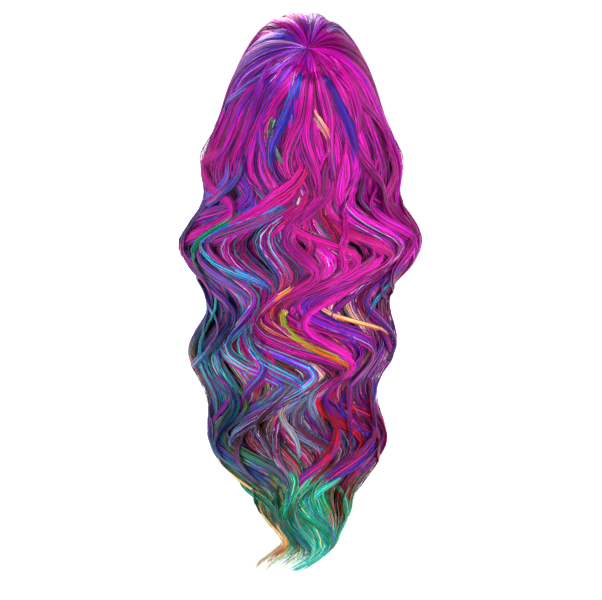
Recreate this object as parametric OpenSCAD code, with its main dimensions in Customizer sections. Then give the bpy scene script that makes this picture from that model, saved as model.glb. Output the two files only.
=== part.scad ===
// Long wavy costume wig: a stretch cap with sewn bands, wefts, adjusters and hair.
// Origin: the middle of the wearer's head, level with the hat line.
// +Z is up, -Y is the wearer's face side and +X the wearer's left.

/* [Head] */
// Half the head's width, side to side
head_half_width = 76; // [66:1:88]
// Half the head's length, forehead to back
head_half_length = 94; // [84:1:108]
// Height of the crown above the hat line
crown_height = 100; // [88:1:116]
// Reach of the head's rounding below the hat line
nape_depth = 112; // [96:1:130]

/* [Cap] */
// Thickness of the stretch net
net_wall = 0.8; // [0.5:0.1:1.4]
// Thickness of the sewn bands round the rim
band_wall = 1.8; // [1.2:0.1:2.6]
// Height of the bands, in degrees of arc on the head
band_arc = 15; // [11:1:18]
// Air between two sewn layers
layer_gap = 0.8; // [0.6:0.1:1.2]
// Half the angle that each elastic rib covers
rib_half_angle = 3; // [2:0.5:4]
// Angle from the top of the head back to the crown whorl
whorl_tilt = 33; // [24:1:42]
// Half angle of the crown patch, seen from the head's middle
patch_half_angle = 14; // [10:1:18]

/* [Wefts] */
// Thickness of a weft's stitched header
weft_wall = 1.6; // [1:0.1:2.4]
// Height of a weft's header, in degrees of arc
weft_arc = 2.6; // [1.8:0.2:3.4]

/* [Ear tabs] */
// Width of an ear tab along the rim
tab_width = 28; // [22:1:34]
// Drop of an ear tab below the rim
tab_drop = 25; // [18:1:32]
// Thickness of an ear tab
tab_wall = 2.2; // [2:0.1:3]
// Length of the metal stay inside an ear tab
stay_length = 17; // [10:1:20]
// Width of the stay
stay_width = 3; // [2:0.5:5]
// Thickness of the stay
stay_wall = 0.8; // [0.5:0.1:1]

/* [Adjusters] */
// Height of the elastic adjuster strap and its hook
strap_height = 10; // [8:1:12]
// Thickness of the adjuster strap
strap_wall = 1; // [0.6:0.1:1.4]
// Pitch of the belt loops on the adjuster tape
loop_pitch = 8; // [7:0.5:10]
// Width of one belt loop
loop_width = 3; // [2:0.5:4]
// Clearance all round the hook inside a loop
hook_clearance = 0.5; // [0.3:0.1:0.8]

/* [Hair] */
// Thickness of the hair over the back and sides of the head
hair_volume = 17; // [12:1:24]
// Thickness of the hair close to the whorl
whorl_volume = 6; // [4:1:9]
// How deep the ridges between strands are, as a share of the hair's thickness
ridge_depth = 0.07; // [0:0.01:0.12]
// Hair nearer the sway axis than this stays with the cap; hair further out hangs free
sway_radius = 128; // [126:1:140]
// Side offset of the sway axis, over the hanging hair's centre of mass
sway_x = 6.8; // [-20:0.5:20]

/* [Hidden] */
weft_rows = 10;
NODES = concat(
    ["cap_net", "crown_patch", "front_band", "forehead_lining", "side_band_left", "side_band_right",
     "nape_band", "rib_centre_back", "rib_back_left", "rib_back_right", "rib_side_left",
     "rib_side_right", "rib_front"],
    [for (i = [1:weft_rows]) str("weft_row_", i)],
    ["crown_weft", "front_weft_1", "front_weft_2", "front_weft_3",
     "ear_tab_left", "ear_tab_right", "ear_stay_left", "ear_stay_right",
     "loop_tape_left", "loop_tape_right", "hook_left", "hook_right", "strap_left", "strap_right",
     "care_label",
     "crown_hair", "fringe_hair", "side_hair_left", "side_hair_right", "back_hair_left", "back_hair_right",
     "nape_hair_left", "nape_hair_centre", "nape_hair_right", "temple_hair_left", "temple_hair_right",
     "long_lock_left", "long_lock_centre", "long_lock_right", "front_lock_left", "front_lock_right"]);
node = "all";

// Net step between grid lines, in degrees; it sets how far a facet sags inside its arc
grid_step = 9;
// Offsets of the sewn layers from the head, from the inside out
lining_in = -1.6 - layer_gap;
lining_out = -layer_gap;
rib_in = net_wall + layer_gap;
rib_out = rib_in + 0.8;
band_in = rib_in;
band_out = band_in + band_wall;
weft_in = max(rib_out, band_out) + layer_gap;
weft_out = weft_in + weft_wall;
hair_in = weft_out + layer_gap + 0.4;
rim_overhang = 3;

// ---- The head as a surface seen from its middle ----

// Direction at an azimuth from the back (+Y, towards +X) and an elevation.
function heading(az, el) = [sin(az) * cos(el), cos(az) * cos(el), sin(el)];
// Distance from the head's middle to its surface along a direction.
function reach(d) =
    let (c = d.z > 0 ? crown_height : nape_depth)
    1 / sqrt(pow(d.x / head_half_width, 2) + pow(d.y / head_half_length, 2) + pow(d.z / c, 2));
function on_head(d, off) = (reach(d) + off) * d;
// A point by turn and slant about a pole that leans back from vertical by a tilt.
function lean(d, tilt) = [d.x, d.y * cos(tilt) + d.z * sin(tilt), d.z * cos(tilt) - d.y * sin(tilt)];
function polar(tilt, turn, slant) = lean(heading(turn, 90 - slant), tilt);

// Elevation of the cap's rim at each azimuth: low at the nape, up over the ears, high in front.
function rim(az) = lookup(abs(az), [[0, -37], [35, -36], [58, -31], [70, -20], [79, -11], [92, -9],
                                    [108, -12], [122, -2], [140, 14], [160, 23], [180, 25]]);
// Slant from a leaning pole down to the rim, found by halving the bracket.
function rim_slant(tilt, turn, low = 20, high = 175, steps = 14) =
    let (mid = (low + high) / 2, d = polar(tilt, turn, mid))
    steps == 0 ? mid
    : asin(d.z) > rim(atan2(d.x, d.y)) ? rim_slant(tilt, turn, mid, high, steps - 1)
    : rim_slant(tilt, turn, low, mid, steps - 1);

// ---- Builders of closed shells ----

// Faces of a grid of rows x columns points: the outer skin faces away from the head.
function grid_faces(rows, cols, base, outer) =
    [for (i = [0:rows - 2], j = [0:cols - 2])
        let (a = base + i * cols + j, b = a + 1, c = a + cols, d = c + 1)
        outer ? [a, b, d, c] : [a, c, d, b]];

// A patch of shell: turn runs from turn0 to turn1, slant from the two ends that span() gives, and
// depth() gives the inner and outer offsets at a turn and slant.
module shell_patch(tilt, turn0, turn1, span, depth) {
    rows = max(3, ceil(abs(turn1 - turn0) / grid_step) + 1);
    widest = max([for (i = [0:rows - 1])
        let (s = span(turn0 + (turn1 - turn0) * i / (rows - 1))) abs(s[1] - s[0])]);
    cols = max(2, ceil(widest / grid_step) + 1);
    layer = rows * cols;
    points = [for (side = [0, 1], i = [0:rows - 1], j = [0:cols - 1])
        let (turn = turn0 + (turn1 - turn0) * i / (rows - 1),
             s = span(turn),
             slant = s[0] + (s[1] - s[0]) * j / (cols - 1),
             d = polar(tilt, turn, slant))
        on_head(d, depth(turn, slant)[side])];
    edges = concat(
        [for (i = [0:rows - 2]) let (a = i * cols, b = a + cols) [a, a + layer, b + layer, b]],
        [for (i = [0:rows - 2]) let (a = i * cols + cols - 1, b = a + cols) [a, b, b + layer, a + layer]],
        [for (j = [0:cols - 2]) [j, j + 1, j + 1 + layer, j + layer]],
        [for (j = [0:cols - 2]) let (a = (rows - 1) * cols + j) [a, a + layer, a + 1 + layer, a + 1]]);
    polyhedron(points, concat(grid_faces(rows, cols, 0, false), grid_faces(rows, cols, layer, true), edges),
               convexity = 6);
}

// A dome of shell round a leaning pole, from the pole down to the slant that edge() gives.
module dome(tilt, edge, inner, outer, steps) {
    rows = 360 / grid_step;
    ring = [for (side = [inner, outer], i = [0:rows - 1], j = [1:steps])
        let (turn = i * grid_step, slant = edge(turn) * j / steps)
        on_head(polar(tilt, turn, slant), side)];
    pole = [for (side = [inner, outer]) on_head(polar(tilt, 0, 0), side)];
    layer = rows * steps;
    function at(side, i, j) = side * layer + (i % rows) * steps + j - 1;
    faces = concat(
        [for (i = [0:rows - 1], j = [1:steps - 1])
            [at(0, i, j), at(0, i + 1, j), at(0, i + 1, j + 1), at(0, i, j + 1)]],
        [for (i = [0:rows - 1], j = [1:steps - 1])
            [at(1, i, j), at(1, i, j + 1), at(1, i + 1, j + 1), at(1, i + 1, j)]],
        [for (i = [0:rows - 1]) [2 * layer, at(0, i + 1, 1), at(0, i, 1)]],
        [for (i = [0:rows - 1]) [2 * layer + 1, at(1, i, 1), at(1, i + 1, 1)]],
        [for (i = [0:rows - 1])
            [at(0, i, steps), at(0, i + 1, steps), at(1, i + 1, steps), at(1, i, steps)]]);
    polyhedron(concat(ring, pole), faces, convexity = 6);
}

// ---- Cap ----

module cap_net() color("plum")
    dome(0, function (turn) 90 - rim(turn > 180 ? turn - 360 : turn), 0, net_wall, 12);

module crown_patch() color("mistyrose")
    dome(whorl_tilt, function (turn) patch_half_angle, rib_in, rib_out, 3);

// A strip that follows the rim, band_arc high.
module rim_strip(az0, az1, inner, outer) {
    shell_patch(0, az0, az1, function (az) [90 - rim(az) - band_arc, 90 - rim(az)],
                function (az, slant) [inner, outer]);
}

module front_band() color("orchid") rim_strip(141, 219, band_in, band_out);
module forehead_lining() color("mediumvioletred") rim_strip(146, 214, lining_in, lining_out);
module side_band_left() color("orchid") rim_strip(57, 139, band_in, band_out);
module side_band_right() color("orchid") mirror([1, 0, 0]) side_band_left();
module nape_band() color("orchid") rim_strip(-55, 55, band_in, band_out);

// An elastic rib that runs from the crown patch down to the bands, at one azimuth.
module rib(az) {
    foot = 90 - rim(az) - band_arc - 1;
    head = abs(az) < 90 ? whorl_tilt + patch_half_angle + 4 : 14;
    shell_patch(0, az - rib_half_angle, az + rib_half_angle,
                function (turn) [head, foot], function (turn, slant) [rib_in, rib_out]);
}

module rib_centre_back() color("hotpink") rib(0);
module rib_back_left() color("hotpink") rib(38);
module rib_back_right() color("hotpink") mirror([1, 0, 0]) rib_back_left();
module rib_side_left() color("hotpink") rib(95);
module rib_side_right() color("hotpink") mirror([1, 0, 0]) rib_side_left();
module rib_front() color("hotpink") rib(180);

// ---- Wefts: stitched headers that the hair hangs from ----

lowest_weft = -27;
// The top row ends just under the crown weft
highest_weft = 90 - whorl_tilt - patch_half_angle - 2.5 - 1.5 * weft_arc;
weft_rise = (highest_weft - lowest_weft) / (weft_rows - 1);
// A row's elevation, and how far round to each side it reaches: to the ear below, to the temple above.
function weft_level(i) = lowest_weft + (i - 1) * weft_rise;
function weft_reach(i) = lookup(weft_level(i), [[-28, 48], [-12, 62], [2, 96], [12, 122], [50, 132]]);

module weft(az0, az1, level) {
    shell_patch(0, az0, az1,
                function (az) [90 - level - weft_arc / 2, 90 - level + weft_arc / 2],
                function (az, slant) [weft_in, weft_out]);
}

module weft_row(i) color("deeppink") weft(-weft_reach(i), weft_reach(i), weft_level(i));

// The crown weft is wound once round the patch and stops just short of its own start.
module crown_weft() color("deeppink")
    shell_patch(whorl_tilt, 4, 356,
                function (turn) [patch_half_angle + 1, patch_half_angle + 1 + weft_arc],
                function (turn, slant) [weft_in, weft_out]);

front_weft_levels = [44, 54, 64];
module front_weft(i) color("deeppink") weft(149, 211, front_weft_levels[i - 1]);

// ---- Ear tabs ----

tab_az = 104;
tab_gap = 1.8;
tab_rim = on_head(heading(tab_az, rim(tab_az)), band_in + band_wall / 2);
tab_turn = atan2(tab_rim.x / pow(head_half_width, 2), tab_rim.y / pow(head_half_length, 2));

// Places children at the left tab's fold: x along the rim, y out from the head, z up.
module at_left_tab() translate(tab_rim) rotate(-tab_turn) children();

module tab_outline() {
    corner = tab_width / 3;
    middle = tab_width / 2 - corner;
    translate([-tab_width / 2, corner - tab_drop]) square([tab_width, tab_drop - corner - tab_gap]);
    for (x = [-middle, middle]) translate([x, corner - tab_drop]) circle(corner, $fn = 48);
    translate([-middle, -tab_drop]) square([2 * middle, corner]);
}

// The flat stay lies in a pocket between the tab's two plies, open at the fold.
stay_foot = 5 - tab_drop;
stay_clearance = 0.2;
module stay_blank(extra, length) {
    size = [stay_width + 2 * extra, stay_wall + 2 * extra, length + extra];
    translate([-size.x / 2, -size.y / 2, stay_foot - extra]) cube(size);
}
module ear_tab_left() color("orchid") at_left_tab() difference() {
    rotate([90, 0, 0]) linear_extrude(tab_wall, center = true) tab_outline();
    stay_blank(stay_clearance, tab_drop);
}
module ear_tab_right() color("orchid") mirror([1, 0, 0]) ear_tab_left();
module ear_stay_left() color("silver") at_left_tab()
    stay_blank(0, min(stay_length, tab_drop - 5 - tab_gap));
module ear_stay_right() color("silver") mirror([1, 0, 0]) ear_stay_left();

// ---- Adjusters at the nape: a strap with a hook that runs through three belt loops ----

adjuster_level = -24;
adjuster_inset = -2;
// The head narrows downwards here, and the strap leans in with it
adjuster_lean = -14;
strap_end = on_head(heading(54, adjuster_level), adjuster_inset);
tape_end = on_head(heading(14, adjuster_level), adjuster_inset);
adjuster_run = norm([tape_end.x - strap_end.x, tape_end.y - strap_end.y]);
adjuster_angle = atan2(tape_end.y - strap_end.y, tape_end.x - strap_end.x);
loop_count = 3;
tape_wall = 0.8;
loop_wall = 0.8;
hook_wall = 1;
tongue_height = 6;
tongue_length = 10;
grip_length = 5;
strap_clearance = 0.4;
loop_height = strap_height + 2 * hook_clearance;
tape_height = loop_height + 3;
tape_length = loop_count * loop_pitch + loop_width;
tunnel = max(hook_wall, strap_wall) + 2 * hook_clearance;
hook_mid = -tape_wall - tunnel / 2;
// Where the tape starts, measured from the strap's sewn end
tape_start = adjuster_run - tape_length;

// Places children on the left adjuster's chord: x from the ear to the nape, y towards the net, z up.
module at_left_adjuster()
    translate(strap_end) rotate(adjuster_angle) mirror([0, 1, 0]) rotate([adjuster_lean, 0, 0]) children();

module loop_tape_left() color("violet") at_left_adjuster() {
    translate([tape_start, -tape_wall, -tape_height / 2]) cube([tape_length, tape_wall, tape_height]);
    for (i = [0:loop_count - 1]) translate([tape_start + i * loop_pitch + loop_width, 0, 0]) belt_loop();
}
// A loop stands off the tape and leaves a tunnel that the whole hook and strap pass through.
module belt_loop() {
    depth = tunnel + loop_wall;
    translate([0, -tape_wall - depth, -tape_height / 2]) difference() {
        cube([loop_width, depth + tape_wall / 2, tape_height]);
        translate([-1, loop_wall, (tape_height - loop_height) / 2]) cube([loop_width + 2, tunnel, loop_height]);
    }
}
module loop_tape_right() color("violet") mirror([1, 0, 0]) loop_tape_left();

// The hook: a flat grip with a slot for the strap, and a tongue that sits in the first loop.
hook_tip = tape_start + 2 * loop_width + 1;
grip_start = hook_tip - tongue_length - grip_length;
module hook_left() color("white") at_left_adjuster() translate([grip_start, hook_mid, 0]) {
    translate([grip_length, -hook_wall / 2, -tongue_height / 2])
        cube([tongue_length, hook_wall, tongue_height]);
    translate([0, -hook_wall / 2, -strap_height / 2]) difference() {
        cube([grip_length, hook_wall, strap_height]);
        translate([1.4, -1, 1.6]) cube([1.6, hook_wall + 2, strap_height - 3.2]);
    }
}
module hook_right() color("white") mirror([1, 0, 0]) hook_left();

// The strap is sewn to the band by the ear and ends at the hook's grip.
module strap_left() color("hotpink") at_left_adjuster()
    translate([0, hook_mid - strap_wall / 2, -strap_height / 2])
        cube([grip_start - strap_clearance, strap_wall, strap_height]);
module strap_right() color("hotpink") mirror([1, 0, 0]) strap_left();

// A blank satin tag sewn inside the nape.
label_width = 26;
label_drop = 18;
module care_label() color("white")
    translate(on_head(heading(0, -20), -4.5)) rotate([-16, 0, 0])
        translate([-label_width / 2, -0.5, -label_drop]) cube([label_width, 0.5, label_drop]);

// ---- Hair on the head: thick shells that flow from the whorl to the rim ----

sector_gap = 1;
crown_cover = patch_half_angle + 5;
function swell(slant) = whorl_volume + (hair_volume - whorl_volume) * sin(min(90, slant * 1.8));
// Ridges between strands, ten to a full turn
function ridge(turn) = 1 + ridge_depth * cos(10 * turn);
module hair_sector(turn0, turn1) {
    shell_patch(whorl_tilt, turn0 + sector_gap, turn1 - sector_gap,
                function (turn) [crown_cover + 1, rim_slant(whorl_tilt, turn) + rim_overhang],
                function (turn, slant) [hair_in, hair_in + swell(slant) * ridge(turn)]);
}

module crown_hair() color("deeppink")
    dome(whorl_tilt, function (turn) crown_cover, hair_in, hair_in + swell(crown_cover) - 2, 3);
module fringe_hair() color("mediumvioletred") hair_sector(135, 225);
module side_hair_left() color("darkviolet") hair_sector(75, 135);
module side_hair_right() color("mediumvioletred") mirror([1, 0, 0]) hair_sector(75, 135);
module back_hair_left() color("mediumvioletred") hair_sector(0, 75);
module back_hair_right() color("mediumvioletred") mirror([1, 0, 0]) hair_sector(0, 75);

// Everything the head, cap and head hair take up, with air round it: hanging hair starts outside it.
module head_block(air) {
    rows = 360 / grid_step;
    steps = 14;
    reach_out = [for (i = [0:rows - 1], j = [1:steps])
        let (turn = i * grid_step,
             edge = rim_slant(whorl_tilt, turn) + rim_overhang + 0.6 * air,
             slant = edge * j / steps)
        on_head(polar(whorl_tilt, turn, slant), hair_in + swell(slant) * (1 + ridge_depth) + air)];
    pole = on_head(polar(whorl_tilt, 0, 0), hair_in + hair_volume);
    function at(i, j) = (i % rows) * steps + j - 1;
    faces = concat(
        [for (i = [0:rows - 1], j = [1:steps - 1]) [at(i, j), at(i, j + 1), at(i + 1, j + 1), at(i + 1, j)]],
        [for (i = [0:rows - 1]) [rows * steps, at(i, 1), at(i + 1, 1)]],
        [for (i = [0:rows - 1]) [rows * steps + 1, at(i + 1, steps), at(i, steps)]]);
    polyhedron(concat(reach_out, [pole, [0, 0, 0]]), faces, convexity = 4);
}

// ---- Hanging hair: wavy locks swept along a route of [x, y, z, half width, half depth] ----

lock_sides = 20;
rings_per_leg = 3;
// How far a lock's ridges turn from one ring to the next
lock_twist = 5;

// A point on the smooth curve through four stations, at a share t between the middle two.
function between(a, b, c, d, t) =
    0.5 * (2 * b + (c - a) * t + (2 * a - 5 * b + 4 * c - d) * t * t
           + (3 * b - a - 3 * c + d) * t * t * t);
function smooth(route) =
    let (n = len(route) - 1)
    [for (k = [0:n * rings_per_leg])
        let (i = min(n - 1, floor(k / rings_per_leg)), t = k / rings_per_leg - i)
        between(route[max(0, i - 1)], route[i], route[i + 1], route[min(n, i + 2)], t)];

module lock(route) {
    rings = smooth(route);
    n = len(rings);
    function along(k) =
        let (d = rings[min(n - 1, k + 1)] - rings[max(0, k - 1)], v = [d.x, 0, d.z]) v / norm(v);
    points = [for (k = [0:n - 1], s = [0:lock_sides - 1])
        let (r = rings[k], t = along(k), a = 360 * s / lock_sides + lock_twist * k,
             swell = 1 + ridge_depth * (cos(90 * s) - 1))
        [r.x, r.y, r.z] + swell * (r[3] * cos(a) * [-t.z, 0, t.x] + r[4] * sin(a) * [0, 1, 0])];
    function at(k, s) = k * lock_sides + s % lock_sides;
    faces = concat(
        [for (k = [0:n - 2], s = [0:lock_sides - 1])
            [at(k, s), at(k, s + 1), at(k + 1, s + 1), at(k + 1, s)]],
        [[for (s = [lock_sides - 1:-1:0]) at(0, s)]],
        [[for (s = [0:lock_sides - 1]) at(n - 1, s)]]);
    polyhedron(points, faces, convexity = 8);
}

// The sway cylinder parts the hair that stays with the head from the hair that hangs free.
sway_gap = 1;
module sway_cylinder(extra)
    translate([sway_x, 0, 0]) rotate([-90, 0, 0])
        cylinder(r = sway_radius + extra, h = 600, center = true, $fn = 96);
module held_part() difference() {
    intersection() {
        children();
        sway_cylinder(-sway_gap);
    }
    head_block(1.4);
}
module free_part() difference() {
    children();
    sway_cylinder(sway_gap);
}

// The hanging hair's place follows the head: out from its side and from its back
side = head_half_width;
back = head_half_length;
left_route = [[side - 28, back - 36, -36, 24, 14], [side + 4, back - 30, -84, 38, 22],
              [side + 20, back - 27, -130, 47, 28], [side + 24, back - 26, -196, 50, 32],
              [side + 8, back - 24, -270, 44, 30], [side + 20, back - 24, -340, 46, 28],
              [side + 2, back - 26, -410, 43, 26], [side - 12, back - 28, -480, 31, 22],
              [side - 44, back - 30, -545, 13, 12]];
// The middle lock fills what the outer two leave between them
centre_route = [[2, back - 20, -42, side - 42, 16], [0, back - 18, -84, side - 35, 20],
                [4, back - 20, -130, side - 33, 26], [3, back - 22, -190, side - 31, 34],
                [0, back - 22, -270, side - 38, 32], [8, back - 22, -340, side - 36, 30],
                [-2, back - 24, -420, side - 39, 28], [-6, back - 26, -490, side - 42, 24],
                [-14, back - 28, -550, 28, 18],
                [0, back - 32, -590, 20, 14], [44, back - 34, -606, 14, 10], [68, back - 36, -604, 6, 6]];
right_route = [[30 - side, back - 36, -38, 22, 14], [-4 - side, back - 28, -96, 36, 22],
               [-18 - side, back - 26, -150, 50, 28], [-17 - side, back - 26, -190, 49, 30],
               [-4 - side, back - 24, -250, 39, 30], [8 - side, back - 24, -310, 33, 28],
               [1 - side, back - 26, -390, 34, 26], [8 - side, back - 28, -450, 26, 22],
               [14 - side, back - 30, -510, 16, 16], [26 - side, back - 32, -545, 8, 8]];
// Side hair that falls in front of the shoulders and joins the rest lower down
front_route = [[side + 11, -8, -6, 8, 18], [side + 29, -6, -44, 18, 26], [side + 37, -5, -84, 22, 32],
               [side + 39, -3, -150, 24, 34], [side + 24, 4, -240, 20, 28], [side + 15, 14, -320, 17, 20],
               [side, 24, -390, 11, 13]];

module nape_hair_left() color("mediumblue") held_part() lock(left_route);
module nape_hair_centre() color("mediumvioletred") held_part() lock(centre_route);
module nape_hair_right() color("mediumvioletred") held_part() lock(right_route);
module temple_hair_left() color("darkorchid") held_part() lock(front_route);
module temple_hair_right() color("deeppink") held_part() mirror([1, 0, 0]) lock(front_route);
module long_lock_left() color("teal") free_part() lock(left_route);
module long_lock_centre() color("crimson") free_part() lock(centre_route);
module long_lock_right() color("slateblue") free_part() lock(right_route);
module front_lock_left() color("darkorchid") free_part() lock(front_route);
module front_lock_right() color("deeppink") free_part() mirror([1, 0, 0]) lock(front_route);

// ---- Output ----

function wanted(name) = node == "all" || node == name;

if (wanted("cap_net")) cap_net();
if (wanted("crown_patch")) crown_patch();
if (wanted("front_band")) front_band();
if (wanted("forehead_lining")) forehead_lining();
if (wanted("side_band_left")) side_band_left();
if (wanted("side_band_right")) side_band_right();
if (wanted("nape_band")) nape_band();
if (wanted("rib_centre_back")) rib_centre_back();
if (wanted("rib_back_left")) rib_back_left();
if (wanted("rib_back_right")) rib_back_right();
if (wanted("rib_side_left")) rib_side_left();
if (wanted("rib_side_right")) rib_side_right();
if (wanted("rib_front")) rib_front();
for (i = [1:weft_rows]) if (wanted(str("weft_row_", i))) weft_row(i);
if (wanted("crown_weft")) crown_weft();
for (i = [1:len(front_weft_levels)]) if (wanted(str("front_weft_", i))) front_weft(i);
if (wanted("ear_tab_left")) ear_tab_left();
if (wanted("ear_tab_right")) ear_tab_right();
if (wanted("ear_stay_left")) ear_stay_left();
if (wanted("ear_stay_right")) ear_stay_right();
if (wanted("loop_tape_left")) loop_tape_left();
if (wanted("loop_tape_right")) loop_tape_right();
if (wanted("hook_left")) hook_left();
if (wanted("hook_right")) hook_right();
if (wanted("strap_left")) strap_left();
if (wanted("strap_right")) strap_right();
if (wanted("care_label")) care_label();
if (wanted("crown_hair")) crown_hair();
if (wanted("fringe_hair")) fringe_hair();
if (wanted("side_hair_left")) side_hair_left();
if (wanted("side_hair_right")) side_hair_right();
if (wanted("back_hair_left")) back_hair_left();
if (wanted("back_hair_right")) back_hair_right();
if (wanted("nape_hair_left")) nape_hair_left();
if (wanted("nape_hair_centre")) nape_hair_centre();
if (wanted("nape_hair_right")) nape_hair_right();
if (wanted("temple_hair_left")) temple_hair_left();
if (wanted("temple_hair_right")) temple_hair_right();
if (wanted("long_lock_left")) long_lock_left();
if (wanted("long_lock_centre")) long_lock_centre();
if (wanted("long_lock_right")) long_lock_right();
if (wanted("front_lock_left")) front_lock_left();
if (wanted("front_lock_right")) front_lock_right();
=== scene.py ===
import math

import bpy
import numpy as np
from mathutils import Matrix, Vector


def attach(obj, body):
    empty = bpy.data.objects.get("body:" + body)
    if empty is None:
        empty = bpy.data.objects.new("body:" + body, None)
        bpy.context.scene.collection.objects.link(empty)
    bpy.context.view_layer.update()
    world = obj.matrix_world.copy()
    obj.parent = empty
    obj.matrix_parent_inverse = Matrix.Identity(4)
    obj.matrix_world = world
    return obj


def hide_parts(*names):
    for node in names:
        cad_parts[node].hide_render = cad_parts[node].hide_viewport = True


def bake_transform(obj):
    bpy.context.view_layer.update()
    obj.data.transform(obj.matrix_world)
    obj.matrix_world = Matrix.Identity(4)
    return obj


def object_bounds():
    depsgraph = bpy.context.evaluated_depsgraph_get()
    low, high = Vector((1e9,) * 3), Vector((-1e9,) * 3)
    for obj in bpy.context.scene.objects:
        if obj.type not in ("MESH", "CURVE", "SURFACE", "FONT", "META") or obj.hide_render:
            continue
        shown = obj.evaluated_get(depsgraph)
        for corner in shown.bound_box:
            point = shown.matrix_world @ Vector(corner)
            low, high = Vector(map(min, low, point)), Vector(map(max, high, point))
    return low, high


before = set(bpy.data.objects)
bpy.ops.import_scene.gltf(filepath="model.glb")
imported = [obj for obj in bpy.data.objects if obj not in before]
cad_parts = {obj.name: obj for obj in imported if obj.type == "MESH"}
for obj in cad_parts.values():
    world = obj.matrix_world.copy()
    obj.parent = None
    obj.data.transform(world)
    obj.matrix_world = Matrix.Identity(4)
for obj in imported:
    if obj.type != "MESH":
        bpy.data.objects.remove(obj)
cad_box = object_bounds()

# ---- Net cap ----
# The cap is one piece of stretch net, knitted in small open cells and shaped on the head.
# Everything else is sewn to it, and its edge is turned into the bindings.

NET_THICKNESS = 0.8
HEAD_WIDTH, HEAD_LENGTH, HEAD_CROWN, HEAD_NAPE = 76.0, 94.0, 100.0, 112.0
WHORL_LEAN = math.radians(33)
RIM_TURNS = [0, 35, 58, 70, 79, 92, 108, 122, 140, 160, 180]
RIM_HEIGHTS = [-37, -36, -31, -20, -11, -9, -12, -2, 14, 23, 25]


def head_reach(way):
    """Distance in mm from the head's middle to its skin: the ellipsoid's radius along a unit direction."""
    height = np.where(way[..., 2] > 0, HEAD_CROWN, HEAD_NAPE)
    return 1 / np.sqrt(
        (way[..., 0] / HEAD_WIDTH) ** 2 + (way[..., 1] / HEAD_LENGTH) ** 2 + (way[..., 2] / height) ** 2
    )


def heading(turn, slant, lean=0.0):
    """Unit direction a slant away from a pole, at a turn round it; the pole leans back from vertical."""
    x, y, z = np.sin(turn) * np.sin(slant), np.cos(turn) * np.sin(slant), np.cos(slant) + 0 * turn
    c, s = math.cos(lean), math.sin(lean)
    return np.stack([x, y * c + z * s, z * c - y * s], axis=-1)


def on_head(way, offset):
    """The point on the head along a direction, raised by an offset in mm."""
    return way * (head_reach(way) + offset)[..., None]


def rim_height(turn):
    """Elevation of the cap's edge in radians, joined straight between the sewn corners."""
    return np.radians(np.interp(np.abs(np.degrees(turn)), RIM_TURNS, RIM_HEIGHTS))


def smooth(x):
    """0 below 0, 1 above 1, and a soft S between."""
    x = np.clip(x, 0, 1)
    return x * x * (3 - 2 * x)


def shells(name, rings, along=None, colours=(), ways=None):
    """Closed tubes from a grid (tubes, rings, points round a ring, 3) in mm.
    Quads join ring to ring and wrap round; each end is filled with quads, and the UV map runs round and along.
    ways are the shading directions of the points, where they differ from the surface's own."""
    n, r, k, _ = rings.shape
    index = np.arange(n * r * k).reshape(n, r, k)
    nxt = np.roll(index, -1, axis=2)
    walls = np.stack([index[:, :-1], nxt[:, :-1], nxt[:, 1:], index[:, 1:]], axis=-1).reshape(-1, 4)
    fan = np.array([[0, 2 * i + 1, 2 * i + 2, 2 * i + 3] for i in range(k // 2 - 1)])
    start, end = index[:, 0][:, fan][..., ::-1].reshape(-1, 4), index[:, -1][:, fan].reshape(-1, 4)
    quads = np.concatenate([walls, start, end])
    points = rings.reshape(-1, 3) * 0.001
    corner = points[quads]
    size = np.einsum("ij,ij->i", corner[:, 0], np.cross(corner[:, 1], corner[:, 2]))
    size += np.einsum("ij,ij->i", corner[:, 0], np.cross(corner[:, 2], corner[:, 3]))
    if size.sum() < 0:
        quads = quads[:, ::-1]
    if along is None:
        along = np.cumsum(
            np.linalg.norm(np.diff(rings[:, :, 0], axis=1, prepend=rings[:, :1, 0]), axis=-1), axis=1
        ) * 0.001
    round_it = np.broadcast_to(np.arange(k) / k, (n, r, k))
    up = np.broadcast_to(along[:, :, None], (n, r, k))
    uv = np.stack([round_it.reshape(-1)[quads], up.reshape(-1)[quads]], axis=-1)
    turned = (uv[..., 0].max(axis=1) - uv[..., 0].min(axis=1)) > 0.6
    uv[..., 0] += turned[:, None] * (uv[..., 0] < 0.4)
    mesh = bpy.data.meshes.new(name)
    mesh.vertices.add(len(points))
    mesh.vertices.foreach_set("co", points.ravel())
    mesh.loops.add(quads.size)
    mesh.loops.foreach_set("vertex_index", quads.ravel())
    mesh.polygons.add(len(quads))
    mesh.polygons.foreach_set("loop_start", np.arange(0, quads.size, 4))
    mesh.polygons.foreach_set("use_smooth", np.ones(len(quads), bool))
    mesh.uv_layers.new(name="UVMap").data.foreach_set("uv", uv.ravel())
    for key, values in dict(colours).items():
        rgba = np.ones((n, r, k, 4))
        rgba[..., :3] = (np.asarray(values)[:, :, None] / 255) ** 2.2
        mesh.color_attributes.new(key, "FLOAT_COLOR", "POINT").data.foreach_set("color", rgba.ravel())
    mesh.update(calc_edges=True)
    if ways is not None:
        mesh.attributes.new("custom_normal", "FLOAT_VECTOR", "POINT").data.foreach_set("vector", ways.ravel())
    piece = bpy.data.objects.new(name, mesh)
    bpy.context.scene.collection.objects.link(piece)
    return piece


class Shade:
    """A value in a finish's node tree. Arithmetic on it adds Math nodes."""

    def __init__(self, finish, socket):
        self.finish, self.socket = finish, socket

    def maths(self, operation, *values):
        return self.finish.node("ShaderNodeMath", {"operation": operation}, dict(enumerate(values)))

    def __add__(self, other):
        return self.maths("ADD", self, other)

    def __mul__(self, other):
        return self.maths("MULTIPLY", self, other)

    __radd__, __rmul__ = __add__, __mul__


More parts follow.
